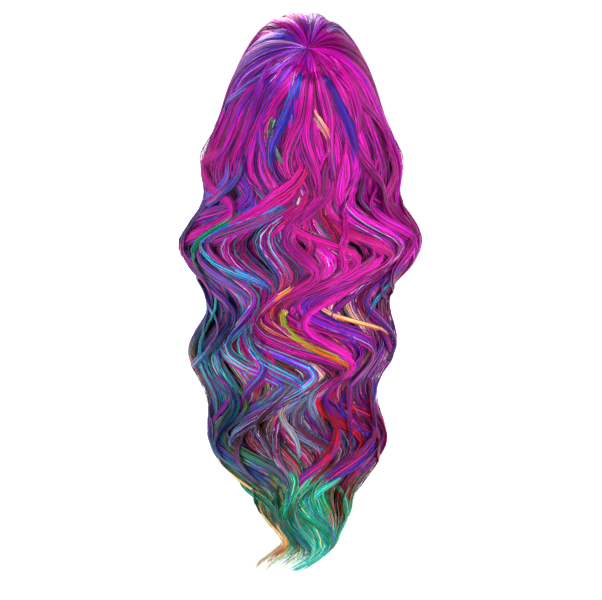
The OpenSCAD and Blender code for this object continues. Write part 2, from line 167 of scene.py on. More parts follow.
class Finish:
    """One material. node() adds any node: its type, its settings first, then its sockets' values or links."""

    def __init__(self, name, **constants):
        self.material = bpy.data.materials.new(name)
        self.material.use_nodes = True
        self.tree = self.material.node_tree
        self.shader = self.tree.nodes["Principled BSDF"]
        self.set(**constants)

    def node(self, kind, settings=(), sockets=(), output=0):
        made = self.tree.nodes.new(kind)
        for key, value in dict(settings).items():
            setattr(made, key, value)
        for key, value in dict(sockets).items():
            if isinstance(value, Shade):
                self.tree.links.new(value.socket, made.inputs[key])
            else:
                made.inputs[key].default_value = value
        return Shade(self, made.outputs[output])

    def set(self, **sockets):
        for key, value in sockets.items():
            socket = self.shader.inputs[key.replace("_", " ")]
            if isinstance(value, Shade):
                self.tree.links.new(value.socket, socket)
            else:
                socket.default_value = value

    def mix(self, mask, first, second, way="MIX"):
        return self.node(
            "ShaderNodeMix", {"data_type": "RGBA", "blend_type": way}, {0: mask, 6: first, 7: second}, 2
        )

    def stretched(self, source, scale):
        return self.node("ShaderNodeMapping", {}, {"Vector": source, "Scale": scale})

    def noise(self, source, scale, detail=2.0, flat=False):
        settings = {"noise_dimensions": "2D" if flat else "3D"}
        return self.node("ShaderNodeTexNoise", settings, {"Vector": source, "Scale": scale, "Detail": detail})

    def place(self):
        return self.node("ShaderNodeTexCoord", {}, {}, "Object")

    def uv(self):
        return self.node("ShaderNodeUVMap", {"uv_map": "UVMap"})

    def bumped(self, height, strength, distance):
        normal = self.node("ShaderNodeBump", {}, {"Strength": strength, "Distance": distance, "Height": height})
        self.set(Normal=normal)

    def on(self, *pieces):
        for piece in pieces:
            piece.data.materials.clear()
            piece.data.materials.append(self.material)


def colour(r, g, b):
    """A colour as the eye names it, 0 to 255, in the shader's linear light."""
    return tuple((c / 255) ** 2.2 for c in (r, g, b)) + (1.0,)


def wrapped(name, turns, slants, inner, outer, lean=0.0, across="slant", sides=20):
    """A flat strip of cloth lying on the head, as one closed tube. Its section is a rectangle with rounded
    corners, between two offsets in mm. turns and slants are (middle, half width) arrays along its run; the
    width goes along the slant or along the turn."""
    angle = (np.arange(sides) + 0.5) * 2 * math.pi / sides
    wide = np.sign(np.cos(angle)) * np.abs(np.cos(angle)) ** 0.35
    deep = np.sign(np.sin(angle)) * np.abs(np.sin(angle)) ** 0.35
    turn_mid, turn_half = np.broadcast_arrays(*(np.asarray(v, float)[..., None] for v in turns))
    slant_mid, slant_half = np.broadcast_arrays(*(np.asarray(v, float)[..., None] for v in slants))
    turn = turn_mid + (turn_half * wide if across == "turn" else 0 * wide)
    slant = slant_mid + (slant_half * wide if across == "slant" else 0 * wide)
    offset = (inner + outer) / 2 + (outer - inner) / 2 * deep
    return shells(name, on_head(heading(turn, slant, lean), offset + 0 * turn)[None])


# The net itself: one closed skin, from the inside of the crown down to the rim and back up outside.
net_turn = (np.arange(120) * 2 * math.pi / 120)[None]
edge_slant = math.pi / 2 - rim_height((net_turn + math.pi) % (2 * math.pi) - math.pi)
down = np.concatenate([np.linspace(0.004, 1, 70), np.linspace(1, 0.004, 70)])[:, None]
net_offset = np.concatenate([np.zeros(70), np.full(70, NET_THICKNESS)])[:, None]
net_way = heading(net_turn + 0 * down, edge_slant * down)
cap_net = shells("stretch_net", on_head(net_way, net_offset + 0 * net_turn)[None])
net = Finish("stretch_net", Roughness=0.65, Specular_IOR_Level=0.25, Sheen_Weight=0.15)
cells = net.node(
    "ShaderNodeTexVoronoi", {"voronoi_dimensions": "2D", "feature": "DISTANCE_TO_EDGE"},
    {"Vector": net.stretched(net.uv(), (230.0, 420.0, 1.0)), "Scale": 1.0, "Randomness": 0.35},
)
thread = net.node("ShaderNodeMapRange", {"interpolation_type": "SMOOTHSTEP"},
                  {0: cells, 1: 0.08, 2: 0.2, 3: 1.0, 4: 0.0})
net.set(Base_Color=net.mix(thread, colour(120, 66, 100), colour(196, 132, 172)), Alpha=thread * 0.55 + 0.4)
net.bumped(thread, 0.6, 0.0004)
net.on(cap_net)
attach(cap_net, "cap")
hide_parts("cap_net")

# ---- Crown patch ----
# A small round of matt skin-coloured knit under the whorl, so that it looks like scalp where the hair parts.
# It is zigzag stitched to the net.

SKIN_OFFSET = (1.6, 2.4)
patch_turn = (np.arange(72) * 2 * math.pi / 72)[None]
patch_down = np.concatenate([np.linspace(0.01, 1, 14), np.linspace(1, 0.01, 14)])[:, None]
patch_depth = np.concatenate([np.full(14, SKIN_OFFSET[0]), np.full(14, SKIN_OFFSET[1])])[:, None]
patch_way = heading(patch_turn + 0 * patch_down, math.radians(14) * patch_down, WHORL_LEAN)
crown_patch = shells("scalp_patch", on_head(patch_way, patch_depth + 0 * patch_turn)[None])
knit = Finish("skin_knit", Roughness=0.85, Specular_IOR_Level=0.2)
rows = knit.node("ShaderNodeTexWave", {"bands_direction": "X", "wave_profile": "SIN"},
                 {"Vector": knit.place(), "Scale": 180.0, "Distortion": 2.0, "Detail": 1.0})
knit.set(Base_Color=knit.mix(rows, colour(214, 172, 152), colour(238, 204, 186)))
knit.bumped(rows, 0.4, 0.0003)
knit.on(crown_patch)
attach(crown_patch, "cap")
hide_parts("crown_patch")

# ---- Bindings and lining ----
# Woven elastic binds the rim in four parts: front, two sides and nape. Soft velvet lines the forehead inside the
# front one. All are lockstitched to the net along both edges.

BAND_ARC = math.radians(15)


def woven(name, warp, weft, pitch, rough=0.7):
    """Finish of a narrow woven tape: threads cross every pitch mm, told apart by tone and a fine relief."""
    cloth = Finish(name, Roughness=rough, Specular_IOR_Level=0.25, Sheen_Weight=0.2)
    flat = cloth.stretched(cloth.place(), (1000 / pitch,) * 3)
    ribs_ = cloth.node("ShaderNodeTexWave", {"bands_direction": "Z", "wave_profile": "SIN"},
                       {"Vector": flat, "Scale": 0.32, "Distortion": 0.6, "Detail": 1.0})
    threads = cloth.node("ShaderNodeTexWave", {"bands_direction": "DIAGONAL", "wave_profile": "TRI"},
                         {"Vector": flat, "Scale": 0.6, "Distortion": 0.4, "Detail": 1.0})
    tone = ribs_ * 0.6 + threads * 0.4
    cloth.set(Base_Color=cloth.mix(tone, colour(*warp), colour(*weft)))
    cloth.bumped(tone, 0.5, 0.00035)
    return cloth


def rim_strip(name, from_turn, to_turn, inner, outer):
    """A strip that follows the rim between two turns, in degrees."""
    turn = np.radians(np.linspace(from_turn, to_turn, 80))
    edge = math.pi / 2 - rim_height((turn + math.pi) % (2 * math.pi) - math.pi)
    return wrapped(name, (turn, 0), (edge - BAND_ARC / 2, BAND_ARC / 2), inner, outer, sides=28)


elastic = woven("elastic_binding", (128, 24, 92), (178, 52, 132), 1.1)
velvet = Finish("soft_velvet", Roughness=0.95, Specular_IOR_Level=0.1, Sheen_Weight=0.6, Sheen_Roughness=0.4)
nap = velvet.noise(velvet.place(), 900.0, 3.0)
velvet.set(Base_Color=velvet.mix(nap, colour(96, 16, 66), colour(160, 44, 110)))
velvet.bumped(nap, 0.5, 0.0003)
for name, node, span, flat in (
    ("front_binding", "front_band", (141, 219), (0.025, 0.122)),
    ("left_binding", "side_band_left", (57, 139), (0.024, 0.111)),
    ("right_binding", "side_band_right", (-139, -57), (0.024, 0.111)),
    ("nape_binding", "nape_band", (-55, 55), (0.026, 0.164)),
):
    strip = rim_strip(name, *span, 1.6, 3.4)
    elastic.on(strip)
    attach(strip, "cap")
    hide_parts(node)
lining = rim_strip("velvet_lining", 146, 214, -2.4, -0.8)
velvet.on(lining)
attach(lining, "cap")
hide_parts("forehead_lining")

# ---- Ribs and wefts ----
# Narrow elastic ribs run from the crown down to the bindings. The hair hangs from wefts: strips of stitched
# header sewn to the ribs in level rows round the back, three short rows in front, and one round the crown patch.


def rib(node, turn):
    """An elastic rib 6 degrees wide at one turn, from near the crown patch to the binding."""
    foot = math.pi / 2 - float(rim_height(math.radians(turn))) - BAND_ARC - math.radians(1)
    head = math.radians(51 if abs(turn) < 90 else 14)
    piece = wrapped(node.replace("rib", "elastic_rib"), (math.radians(turn), math.radians(3)),
                    (np.linspace(head, foot, 40), 0), 1.6, 2.4, across="turn", sides=12)
    elastic.on(piece)
    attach(piece, "cap")
    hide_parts(node)


for node, turn in (("rib_centre_back", 0), ("rib_back_left", 38), ("rib_back_right", -38), ("rib_side_left", 95),
                   ("rib_side_right", -95), ("rib_front", 180)):
    rib(node, turn)

header = woven("stitched_header", (84, 10, 58), (150, 30, 110), 0.7, 0.6)
WEFT_LAYER = (4.2, 5.8)
WEFT_HALF = math.radians(1.3)
ROW_REACH = ([-28, -12, 2, 12, 50], [48, 62, 96, 122, 132])
weft_rows = [(f"weft_row_{i + 1}", -27 + 7.0666 * i, None) for i in range(10)]
weft_rows += [(f"front_weft_{i + 1}", level, (149, 211)) for i, level in enumerate((44, 54, 64))]
for node, level, span in weft_rows:
    far = float(np.interp(level, *ROW_REACH))
    turn = np.radians(np.linspace(*(span or (-far, far)), 90))
    weft = wrapped(node.replace("weft", "hair_weft"), (turn, 0), (math.radians(90 - level), WEFT_HALF),
                   *WEFT_LAYER, sides=12)
    header.on(weft)
    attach(weft, "cap")
    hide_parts(node)
weft = wrapped("hair_weft_crown", (np.radians(np.linspace(4, 356, 90)), 0), (math.radians(16.3), WEFT_HALF),
               *WEFT_LAYER, WHORL_LEAN, sides=12)
header.on(weft)
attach(weft, "cap")
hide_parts("crown_weft")

# ---- Stitching ----
# Fine thread: a zigzag along both edges of the bindings, seen on the inside of the net and on the bindings, and
# a ring round the crown patch.


def stitches(turn, slant, offset, lean=0.0, slope=0.5, long=2.4, thick=0.45):
    """Short stitches on the head, each a thin closed tube that dips in at both ends. They lean alternately
    left and right of the seam's line by the slope, to make a zigzag."""
    t = np.linspace(-0.5, 0.5, 5)
    zig = np.where(np.arange(len(turn)) % 2, 1.0, -1.0)[:, None]
    reach = 90.0
    across = np.sin(slant)[:, None] + 1e-6
    line_turn = turn[:, None] + t * long / reach / across
    line_slant = slant[:, None] + zig * slope * t * long / reach
    arch = offset + 0.25 * (1 - (2 * t) ** 2)
    line = on_head(heading(line_turn, line_slant, lean), arch + 0 * line_turn)
    run = np.gradient(line, axis=1)
    run /= np.linalg.norm(run, axis=-1, keepdims=True)
    up = line / np.linalg.norm(line, axis=-1, keepdims=True)
    side = np.cross(run, up)
    angle = (np.arange(6) * math.pi / 3)[:, None]
    fat = thick / 2 * np.array([0.4, 0.9, 1, 0.9, 0.4])[:, None, None]
    return line[:, :, None] + fat * (side[:, :, None] * np.cos(angle) + up[:, :, None] * np.sin(angle))


seams = []
for start, stop in ((141, 219), (57, 139), (-139, -57), (-55, 55)):
    seam = np.radians(np.arange(start + 1, stop - 1, 1.35))
    edge = math.pi / 2 - rim_height((seam + math.pi) % (2 * math.pi) - math.pi)
    for in_from_edge in (1.6, 13.4):
        line = edge - math.radians(in_from_edge)
        seams.append(stitches(seam, line, 3.5))
        if start != 141:
            seams.append(stitches(seam, line, -0.3))
ring = np.radians(np.arange(0, 360, 5.0))
seams.append(stitches(ring, np.full(len(ring), math.radians(13.2)), 2.5, WHORL_LEAN, long=1.8))
stitching = shells("lockstitch_thread", np.concatenate(seams))
cotton = Finish("polyester_thread", Roughness=0.5)
ply = cotton.noise(cotton.place(), 1500.0, 1.0)
cotton.set(Base_Color=cotton.mix(ply, colour(200, 110, 170), colour(236, 170, 214)))
cotton.on(stitching)
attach(stitching, "cap")

# ---- Ear tabs ----
# In front of each ear a padded tab of two plies hangs from the rim. A bendable metal stay in it lets the wearer
# press it to the temple. A tape sewn over the outside of the rim and the tab is the hinge between them.

TAB_RIM = on_head(heading(math.radians(104), math.pi / 2 - rim_height(math.radians(104))), np.array(2.5))
TAB_TURN = math.atan2(TAB_RIM[0] / HEAD_WIDTH**2, TAB_RIM[1] / HEAD_LENGTH**2)
tab_soft = woven("tab_cloth", (142, 30, 104), (190, 66, 146), 0.9, 0.8)
steel = Finish("brushed_steel", Metallic=1.0, Anisotropic=0.4)
brushed = steel.noise(steel.stretched(steel.place(), (200.0, 200.0, 4000.0)), 1.0, 2.0)
steel.set(Base_Color=steel.mix(brushed, colour(170, 170, 176), colour(206, 206, 210)),
          Roughness=0.28 + brushed * 0.2)


def at_tab(points, sign):
    """Points in mm along the rim, out from the head and up, put in place on the left or right tab."""
    x, y, z = points[..., 0], points[..., 1], points[..., 2]
    c, s = math.cos(-TAB_TURN), math.sin(-TAB_TURN)
    return (np.stack([x * c - y * s, x * s + y * c, z], axis=-1) + TAB_RIM) * np.array([sign, 1, 1])


for side, sign in (("left", 1), ("right", -1)):
    # Stations from the free end up to the fold: half width, then the two plies' swell, closed at both ends.
    level = -1.8 - 23.2 * (np.arange(26) / 25.0)
    low_end = np.clip((level + 25) / 9.33, 0, 1)
    half = np.maximum(14 - 9.33 * (1 - np.sqrt(1 - (1 - low_end) ** 2)), 0.4)
    angle = (np.arange(32) + 0.5) * 2 * math.pi / 32
    wide = np.sign(np.cos(angle)) * np.abs(np.cos(angle)) ** 0.5
    quilt = 1.1 * np.minimum(1, 0.45 + 0.55 * smooth((level + 25) / 3.0) * smooth((-1.2 - level) / 2.0))
    deep = np.sin(angle)[None] * quilt[:, None] * (1 - 0.12 * np.abs(wide) ** 4)
    tab = np.stack([half[:, None] * wide, deep, level[:, None] + 0 * deep], axis=-1)
    pad = shells(f"padded_tab_{side}", at_tab(tab, sign)[None])
    tab_soft.on(pad)
    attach(pad, f"ear_flap_{side}")
    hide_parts(f"ear_tab_{side}")
    # The hinge tape's section is a tall thin oval. Above the fold it bends in with the rim, as u squared.
    u = np.linspace(-12.5, 12.5, 20)[:, None]
    round_it = (np.arange(24) + 0.5) * 2 * math.pi / 24
    tall = 8 * np.sign(np.sin(round_it)) * np.abs(np.sin(round_it)) ** 0.5
    thin = 0.35 * np.sign(np.cos(round_it)) * np.abs(np.cos(round_it)) ** 0.5
    out = 1.45 + thin - u**2 / 180 * smooth((tall + 2) / 6)
    hinge = shells(f"tab_hinge_{side}", at_tab(np.stack(np.broadcast_arrays(u, out, tall), axis=-1), sign)[None])
    tab_soft.on(hinge)
    fold = TAB_RIM[2] * 0.001
    fold + 0.0015
    fold - 0.003
    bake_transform(hinge)
    steel.on(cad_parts[f"ear_stay_{side}"])

# ---- Adjusters ----
# At the nape an elastic strap runs from each side to a flat plastic hook, which catches one of three loops on a
# sewn tape. Hooking further along makes the cap smaller.

nylon = Finish("moulded_nylon", Roughness=0.42, Specular_IOR_Level=0.45)
clouded = nylon.noise(nylon.place(), 120.0, 2.0)
nylon.set(Base_Color=nylon.mix(clouded, colour(228, 226, 222), colour(244, 243, 240)))
tape_cloth = woven("loop_tape", (150, 96, 150), (206, 150, 204), 0.8, 0.75)
strap_cloth = woven("elastic_strap", (190, 66, 146), (232, 120, 190), 0.9, 0.7)
STRAP_END = on_head(heading(np.radians(54.0), np.radians(114.0)), np.array(-2.0))
TAPE_END = on_head(heading(np.radians(14.0), np.radians(114.0)), np.array(-2.0))
RUN = np.array([*(TAPE_END - STRAP_END)[:2], 0.0])
RUN_LENGTH = np.linalg.norm(RUN)
RUN /= RUN_LENGTH
LEAN = math.radians(-14)
TAPE_LENGTH, LOOP_PITCH = 27, 8
STRAP_IN, STRAP_TO_TAPE = -1.8, 7
HOOK_LENGTH = 15.4


def at_adjuster(points, sign):
    """Points in mm along the strap, towards the net and up, put in place on the left or right adjuster."""
    x, y, z = points[..., 0], points[..., 1], points[..., 2]
    y, z = y * math.cos(LEAN) - z * math.sin(LEAN), y * math.sin(LEAN) + z * math.cos(LEAN)
    across = np.array([RUN[1], -RUN[0], 0.0])
    placed = STRAP_END + x[..., None] * RUN + y[..., None] * across + z[..., None] * np.array([0, 0, 1.0])
    return placed * np.array([sign, 1, 1])


def flat_bar(from_x, to_x, mid_y, thick, tall, stations=24, sides=16):
    """A flat strip along the adjuster: a rectangle section with soft corners."""
    angle = (np.arange(sides) + 0.5) * 2 * math.pi / sides
    wide = np.sign(np.sin(angle)) * np.abs(np.sin(angle)) ** 0.35 * tall / 2
    deep = mid_y + np.sign(np.cos(angle)) * np.abs(np.cos(angle)) ** 0.35 * thick / 2
    x = np.linspace(from_x, to_x, stations)
    return np.stack([x[:, None] + 0 * wide, deep + 0 * x[:, None], wide + 0 * x[:, None]], axis=-1)


for side, sign in (("left", 1), ("right", -1)):
    tape_start = RUN_LENGTH - TAPE_LENGTH
    bars = [flat_bar(tape_start, RUN_LENGTH, -0.4, 0.8, 14)]
    # Each loop stands off the tape as a flat arch with both ends sewn down.
    for i in range(3):
        arch = np.linspace(-1, 1, 24)
        lift = -0.8 - 2.4 * np.minimum(1, (1 - np.abs(arch) ** 8) * 1.15)
        start = tape_start + i * LOOP_PITCH + 3
        angle = (np.arange(16) + 0.5) * 2 * math.pi / 16
        wide = np.sign(np.cos(angle)) * np.abs(np.cos(angle)) ** 0.35 * 1.5
        deep = np.sign(np.sin(angle)) * np.abs(np.sin(angle)) ** 0.35 * 0.4
        slope = np.gradient(lift, arch * 6.9)
        norm = np.sqrt(1 + slope**2)
        bars.append(np.stack([
            start + 1.5 + wide + 0 * arch[:, None],
            lift[:, None] + 0.4 + deep / norm[:, None],
            arch[:, None] * 6.6 - deep * (slope / norm)[:, None],
        ], axis=-1))
    tape = shells(f"belt_loop_tape_{side}", at_adjuster(np.stack(bars), sign))
    tape_cloth.on(tape)
    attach(tape, "cap")
    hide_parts(f"loop_tape_{side}")
    strap_bar = flat_bar(0, tape_start + STRAP_TO_TAPE - HOOK_LENGTH, STRAP_IN, 1.0, 10)
    strap = shells(f"adjuster_strap_{side}", at_adjuster(strap_bar[None], sign))
    strap_cloth.on(strap)
    ends = (1.0, tape_start - 9)
    stretch = [tuple(0.001 * at_adjuster(np.array([at, STRAP_IN, 0.0]), sign)) for at in ends]
    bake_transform(strap)
    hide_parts(f"strap_{side}")
    nylon.on(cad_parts[f"hook_{side}"])

# ---- Tag ----
# A blank white satin tag, folded and sewn by its top edge inside the nape.

drop = np.linspace(0, 1, 20)
angle = (np.arange(40) + 0.5) * 2 * math.pi / 40
wide = np.sign(np.cos(angle)) * np.abs(np.cos(angle)) ** 0.3 * 13
deep = np.sign(np.sin(angle)) * np.abs(np.sin(angle)) ** 0.5 * 0.25
curl = 0.5 * np.sin(wide * 0.22)[None] * drop[:, None] ** 2
tag = np.stack([wide + 0 * drop[:, None], deep - 0.25 + curl, -18 * drop[:, None] + 0 * wide], axis=-1)
c, s = math.cos(math.radians(-16)), math.sin(math.radians(-16))
tag = np.stack([tag[..., 0], tag[..., 1] * c - tag[..., 2] * s, tag[..., 1] * s + tag[..., 2] * c], axis=-1)
tag += on_head(heading(np.array(0.0), np.array(math.radians(110))), np.array(-4.5))
label = shells("satin_tag", tag[None])
satin = Finish("white_satin", Roughness=0.35, Sheen_Weight=0.2)
# Long streaks on the tag: in the base colour they are painted sheen, lighter and darker whites; they also vary
# the roughness.
streaks_and_painted_sheen = satin.noise(satin.stretched(satin.place(), (3000.0, 3000.0, 300.0)), 1.0, 2.0)
satin.set(Base_Color=satin.mix(streaks_and_painted_sheen, colour(228, 226, 222), colour(247, 246, 243)),
          Roughness=0.3 + streaks_and_painted_sheen * 0.15)
satin.on(label)
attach(label, "cap")
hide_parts("care_label")

# ---- Hair fibre ----
# The fibre is glossy heat-set synthetic, dyed in long runs of colour. It hangs in locks, and a lock is made of
# many flat tufts. A tuft's colours are stored along it, and its fine fibres are drawn by the finish.

fibre = Finish("glossy_fibre", Metallic=0.55, Specular_IOR_Level=0.35, Coat_Roughness=0.3, Anisotropic=0.3)
fibre_uv = fibre.uv()
dye = fibre.node("ShaderNodeAttribute", {"attribute_name": "dye"})
streak = fibre.node("ShaderNodeAttribute", {"attribute_name": "streak"})
band = fibre.noise(fibre.stretched(fibre_uv, (2.0, 9.0, 1.0)), 1.6, 2.0, flat=True)
hairs = fibre.noise(fibre.stretched(fibre_uv, (18.0, 12.0, 1.0)), 1.0, 2.0, flat=True)
band_mask = fibre.node(
    "ShaderNodeMapRange", {"interpolation_type": "SMOOTHSTEP"}, {0: band, 1: 0.48, 2: 0.62, 3: 0.0, 4: 1.0}
)
dyed = fibre.mix(band_mask, dye, streak)
light_hairs = fibre.node("ShaderNodeMapRange", {}, {0: hairs, 1: 0.3, 2: 0.75, 3: 0.6, 4: 1.25})
grey = fibre.node("ShaderNodeCombineColor", {}, {0: light_hairs, 1: light_hairs, 2: light_hairs})
fibre.set(Base_Color=fibre.mix(1.0, dyed, grey, "MULTIPLY"))
fibre.set(Roughness=0.24 + hairs * 0.26, Coat_Weight=hairs * 0.12)
fibre.bumped(hairs, 0.3, 0.0003)

DYES = {
    "magenta": (214, 4, 158), "pink": (236, 20, 184), "rose": (206, 6, 96),
    "crimson": (168, 4, 52), "wine": (84, 0, 48), "plum": (104, 4, 98), "purple": (112, 14, 150),
    "violet": (136, 44, 206), "lavender": (184, 140, 240), "royal": (34, 34, 186), "azure": (30, 104, 224),
    "navy": (14, 14, 84), "indigo": (52, 20, 140), "teal": (6, 112, 118), "cyan": (60, 214, 230),
    "silver": (130, 164, 214), "green": (20, 118, 34), "lime": (130, 206, 40), "mint": (90, 232, 180),
    "aqua": (10, 190, 152), "olive": (56, 56, 10), "orange": (240, 100, 16), "peach": (252, 180, 104),
    "cream": (255, 230, 160), "beige": (220, 172, 148), "brown": (112, 44, 20), "red": (222, 12, 30),
    "grey": (96, 122, 156), "black": (26, 4, 30),
}


def dyes(names):
    """Rows of colour for a list of dye names."""
    return np.array([DYES[name] for name in names], float)


def tufts(name, path, face, width, thick, dye, streak, roll, sides=4):
    """Flat tufts of fibre along paths (tufts, stations, 3) in mm.
    A ring is an ellipse, wide across the path and thin along face, turned by roll. It is shaded nearly flat, so
    that tufts lying side by side gleam as one lock."""
    run = np.gradient(path, axis=1)
    run /= np.linalg.norm(run, axis=-1, keepdims=True) + 1e-9
    side = np.cross(run, face)
    side /= np.linalg.norm(side, axis=-1, keepdims=True) + 1e-9
    out = np.cross(side, run)
    c, s = np.cos(roll)[..., None], np.sin(roll)[..., None]
    side, out = side * c + out * s, out * c - side * s
    angle = np.arange(sides) * 2 * math.pi / sides
    rings = (
        path[:, :, None]
        + side[:, :, None] * (np.cos(angle)[:, None] * width[:, :, None, None] / 2)
        + out[:, :, None] * (np.sin(angle)[:, None] * thick[:, :, None, None] / 2)
    )
    length = np.linalg.norm(np.diff(path, axis=1, prepend=path[:, :1]), axis=-1).cumsum(axis=1) * 0.001
    length += np.arange(len(path))[:, None] * 0.737
    facing = np.where(np.sin(angle) > -0.1, 1.0, -1.0)[:, None]
    ways = side[:, :, None] * (np.cos(angle)[:, None] * 0.45) + out[:, :, None] * facing
    ways /= np.linalg.norm(ways, axis=-1, keepdims=True)
    piece = shells(name, rings, along=length, colours={"dye": dye, "streak": streak}, ways=ways)
    fibre.on(piece)
    return piece


def wander(rng, count, stations, span, reach):
    """Slow random sideways drift: three sine waves per tuft with random phase, reach mm high, over span mm."""
    t = np.linspace(0, 1, stations)
    drift = np.zeros((count, stations))
    for part, share in ((1.1, 0.6), (2.3, 0.45), (4.1, 0.3)):
        phase = rng.uniform(0, 2 * math.pi, (count, 1))
        speed = part * span / 300 * rng.uniform(0.7, 1.3, (count, 1))
        drift += share * reach * np.sin(2 * math.pi * speed * t + phase)
    return drift


def tapered(stations, count, size, root=0.5, tip=0.12, tip_from=0.75):
    """Tuft width along its length: narrow at the root, full soon after, and thinning to a point at the tip."""
    t = np.linspace(0, 1, stations)
    shape = (root + (1 - root) * smooth(t / 0.12)) * (1 - (1 - tip) * smooth((t - tip_from) / (1 - tip_from)))
    return np.asarray(size).reshape(count, 1) * shape


# ---- Hanging hair ----
# From the whorl the hair lies over the head, then hangs in heat-set waves and draws in to one tail that hooks to
# the wearer's left. It fills the frame's plain hair solids, so its outline at each height is measured on them.

hair_solids = [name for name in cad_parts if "hair" in name or "_lock_" in name]
LEVELS = np.arange(122.0, -614.0, -6.0)
MIDDLE_Y = ([-600, -400, -200, 0], [58, 44, 15, 5])
WAVE_PITCH = 132
WAVE_REACH = 0.25
LONG_PITCH = 230
RIPPLE = 10.0
RIPPLE_PHASE = 45
HEAD_STATIONS, HANG_STATIONS = 14, 48
HAT_LINE = 24
TIPS = -610
EDGE_TURN = 86


def level_reach(names, levels):
    """How far CAD solids reach at each height, in mm: the least and most x and y where mesh edges cross it."""
    least, most = np.full((len(levels), 2), np.inf), np.full((len(levels), 2), -np.inf)
    for name in names:
        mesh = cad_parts[name].data
        points, ends = np.empty(len(mesh.vertices) * 3), np.empty(len(mesh.edges) * 2, int)
        mesh.vertices.foreach_get("co", points)
        mesh.edges.foreach_get("vertices", ends)
        low, high = (points.reshape(-1, 3) * 1000)[ends.reshape(-1, 2)].swapaxes(0, 1)
        rise = high[:, 2] - low[:, 2]
        part = (levels[:, None] - low[:, 2]) / np.where(np.abs(rise) < 1e-6, 1e-6, rise)
        at = low[None, :, :2] + part[..., None] * (high - low)[None, :, :2]
        crossed = ((part >= 0) & (part <= 1))[..., None]
        least = np.minimum(least, np.where(crossed, at, np.inf).min(axis=1))
        most = np.maximum(most, np.where(crossed, at, -np.inf).max(axis=1))
    return least, most


def evened(row, reach=2):
    """A running mean over 2 x reach + 1 values, with the ends held."""
    return np.convolve(np.pad(row, reach, mode="edge"), np.ones(2 * reach + 1) / (2 * reach + 1), "valid")


least, most = level_reach(hair_solids, LEVELS)
right_edge, left_edge, back_edge = evened(least[:, 0]), evened(most[:, 0]), evened(most[:, 1])


def section(z):
    """The hair's level section at a height: its middle and half size, left and back, in mm."""
    left, right = np.interp(-z, -LEVELS, left_edge), np.interp(-z, -LEVELS, right_edge)
    middle_y = np.interp(z, *MIDDLE_Y)
    depth = np.maximum(np.interp(-z, -LEVELS, back_edge) - middle_y, 6)
    return (left + right) / 2, np.maximum((left - right) / 2, 5), middle_y, depth


def line_x(line, z):
    """Where line number `line` (0 left edge to 8 right edge) lies at a height, in mm left: its share of the
    outline, swung from side to side by a short and a long cosine, each out of step from left to right. The
    swing is widest in the middle and nothing at the edges."""
    middle, half, _, _ = section(z)
    share = 1 - np.clip(line, 0, 8) / 4
    short_wave = np.cos(2 * math.pi * z / WAVE_PITCH + 2.4 * share)
    long_wave = np.cos(2 * math.pi * z / LONG_PITCH - 1.6 * share)
    swing = (short_wave + 0.7 * long_wave) * smooth(-(z + 10) / 110)
    return middle + half * (share + WAVE_REACH * (1 - share**2) * swing)


def swell(slant):
    """Depth of the head hair in mm: thin at the whorl and full from half way down."""
    return 6 + 11 * np.sin(np.minimum(math.pi / 2, slant * 1.8))


def parted(x, z, openings):
    """Push strands sideways round lens-shaped openings (line, height, half width, half height)."""
    for line, height, half_width, half_height in openings:
        lens = half_width * np.clip(1 - ((z - height) / half_height) ** 2, 0, 1) + 1e-3
        middle = line_x(line, z)
        off = x - middle
        level = np.argmin(np.abs(z - height), axis=1)[:, None]
        side = np.where(np.take_along_axis(off, level, 1) > 0, 1.0, -1.0)
        near = smooth(1.6 - np.abs(off) / 40)
        x = middle + off + (side * np.sqrt(off**2 + lens**2) - off) * near * (lens > 0.01)
    return x


def off_the_cap(path, air=7.4):
    """Push points out along their direction from the head's middle until they clear the cap; below the nape's
    rim this fades out."""
    far = np.linalg.norm(path, axis=-1)
    way = path / far[..., None]
    least = head_reach(way) + air - 40 * smooth((-68 - path[..., 2]) / 40)
    return way * np.maximum(far, least)[..., None]


def gathered(rng, lines, groups):
    """Share strands out into locks. Each strand gets its lock's phase, its rise over the lock's round back, its
    tone with a painted highlight on the back of the lock and painted shade in the grooves, and its draw of dyes,
    mostly the lock's."""
    cell = (lines + 3) * groups / 14
    lock = np.clip(cell.astype(int), 0, groups - 1)
    inside = (cell - lock) * 2 - 1
    beat = rng.uniform(0, 2 * math.pi, groups)[lock]
    full = rng.uniform(0.3, 1.0, groups)[lock]
    tone = rng.uniform(0.8, 1.25, groups)[lock]
    lot = rng.random(groups)[lock]
    lot = np.where(rng.random(len(lines)) < 0.35, rng.random(len(lines)), lot)
    # The tone is the lock's random tone times painted light and shade: lighter in the lock's middle, darker at
    # its edges.
    return beat[:, None], ((1 - inside**2) * full)[:, None], tone * (1.2 - 0.6 * inside**2), lot


